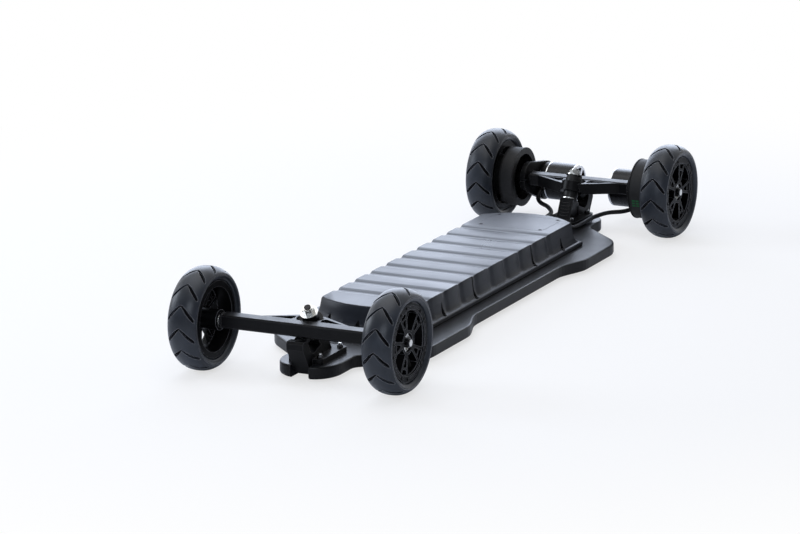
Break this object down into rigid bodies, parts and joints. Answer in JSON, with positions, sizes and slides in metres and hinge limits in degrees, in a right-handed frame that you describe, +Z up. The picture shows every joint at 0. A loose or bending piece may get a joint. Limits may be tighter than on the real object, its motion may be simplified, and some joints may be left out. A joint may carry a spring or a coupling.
{
  "type": "electric mountainboard",
  "caption": "Belt-driven electric mountainboard lying belly up on its air-tyred wheels, with ribbed battery cover, sprung leaning trucks and two outrunner motors at the rear.",
  "frame": {"origin": "on the ground under the middle of the board's length and width, as it stands belly up on its wheels", "axes": "+X towards the nose (the unpowered end), +Y towards the left as it stands, +Z up; the riding face looks down"},
  "size_m": [1.1844, 0.3634, 0.155],
  "materials": {
    "deck_laminate": "satin",
    "grip": "matte",
    "cover_plastic": "satin",
    "black_rubber": "matte",
    "bright_steel": "satin",
    "black_steel": "satin",
    "cell_wrap": "gloss",
    "bare_aluminium": "satin",
    "black_plastic": "matte",
    "black_alloy": "satin",
    "nylon": "satin",
    "urethane": "satin",
    "belt_rubber": "matte",
    "copper": "satin",
    "motor_can": "satin",
    "cable_sleeve": "satin",
    "black_nylon": "satin",
    "tyre_rubber": "matte",
    "rim_nylon": "satin"
  },
  "bodies": {
    "board": {"deck": "deck_laminate", "grip_sheet": "grip", "enclosure_cover": "cover_plastic", "enclosure_gasket": "black_rubber", "enclosure_screws": "black_steel", "service_lid": "cover_plastic", "service_lid_screws": "black_steel", "battery_pack": "cell_wrap", "motor_controller": "bare_aluminium", "charge_socket": "black_plastic", "cable_glands": "black_plastic", "front_truck_base": "black_alloy", "rear_truck_base": "black_alloy", "truck_bolts": "bright_steel", "truck_nuts": "bright_steel", "kingpins": "bright_steel", "kingpin_nuts": "bright_steel", "bushing_washers": "bright_steel", "pivot_cups": "nylon", "front_bushings": "urethane", "rear_bushings": "urethane", "left_motor_cable": "cable_sleeve", "right_motor_cable": "cable_sleeve"},
    "button": {"power_button": "bright_steel"},
    "front_truck": {"front_hanger": "black_alloy", "front_axle": "bright_steel", "front_axle_nuts": "bright_steel"},
    "rear_truck": {"rear_hanger": "black_alloy", "rear_axle": "bright_steel", "rear_axle_nuts": "bright_steel", "left_belt": "belt_rubber", "right_belt": "belt_rubber", "left_motor_mount": "black_alloy", "right_motor_mount": "black_alloy", "left_motor_base": "black_alloy", "right_motor_base": "black_alloy", "left_stator": "copper", "right_stator": "copper", "motor_screws": "bright_steel"},
    "front_left_wheel": {"front_left_tyre": "tyre_rubber", "front_left_rim": "rim_nylon", "front_left_bearings": "bright_steel"},
    "front_right_wheel": {"front_right_tyre": "tyre_rubber", "front_right_rim": "rim_nylon", "front_right_bearings": "bright_steel"},
    "rear_left_wheel": {"rear_left_tyre": "tyre_rubber", "rear_left_rim": "rim_nylon", "rear_left_bearings": "bright_steel", "rear_left_pulley": "black_nylon"},
    "rear_right_wheel": {"rear_right_tyre": "tyre_rubber", "rear_right_rim": "rim_nylon", "rear_right_bearings": "bright_steel", "rear_right_pulley": "black_nylon"},
    "left_rotor": {"left_motor_can": "motor_can", "left_motor_shaft": "bright_steel", "left_motor_pulley": "bright_steel"},
    "right_rotor": {"right_motor_can": "motor_can", "right_motor_shaft": "bright_steel", "right_motor_pulley": "bright_steel"}
  },
  "joints": [
    {"name": "front_lean", "type": "hinge", "parent": "board", "child": "front_truck", "pos_m": [0.47567, 0, 0.0775], "axis": [0.8829, 0, -0.4695], "range_deg": [-20, 20], "stiffness_Nm_per_rad": 60, "deforming": ["front_bushings"]},
    {"name": "rear_lean", "type": "hinge", "parent": "board", "child": "rear_truck", "pos_m": [-0.45633, 0, 0.0775], "axis": [-0.8829, 0, -0.4695], "range_deg": [-20, 20], "stiffness_Nm_per_rad": 60, "deforming": ["rear_bushings", "left_motor_cable", "right_motor_cable"]},
    {"name": "front_left_wheel_spin", "type": "hinge", "parent": "front_truck", "child": "front_left_wheel", "pos_m": [0.51467, 0.158, 0.0775], "axis": [0, 1, 0], "continuous": true},
    {"name": "front_right_wheel_spin", "type": "hinge", "parent": "front_truck", "child": "front_right_wheel", "pos_m": [0.51467, -0.158, 0.0775], "axis": [0, 1, 0], "continuous": true},
    {"name": "rear_left_wheel_spin", "type": "hinge", "parent": "rear_truck", "child": "rear_left_wheel", "pos_m": [-0.49533, 0.158, 0.0775], "axis": [0, 1, 0], "continuous": true, "deforming": ["left_belt"]},
    {"name": "rear_right_wheel_spin", "type": "hinge", "parent": "rear_truck", "child": "rear_right_wheel", "pos_m": [-0.49533, -0.158, 0.0775], "axis": [0, 1, 0], "continuous": true, "deforming": ["right_belt"]},
    {"name": "left_motor_spin", "type": "hinge", "parent": "rear_truck", "child": "left_rotor", "pos_m": [-0.55917, 0.06, 0.0595], "axis": [0, 1, 0], "continuous": true},
    {"name": "right_motor_spin", "type": "hinge", "parent": "rear_truck", "child": "right_rotor", "pos_m": [-0.55917, -0.06, 0.0595], "axis": [0, 1, 0], "continuous": true},
    {"name": "power_button_press", "type": "slide", "parent": "board", "child": "button", "axis": [0, 1, 0], "range_m": [0, 0.0015], "stiffness_N_per_m": 800}
  ],
  "couplings": [
    {"joint": "left_motor_spin", "follows": "rear_left_wheel_spin", "ratio": 4},
    {"joint": "right_motor_spin", "follows": "rear_right_wheel_spin", "ratio": 4}
  ]
}
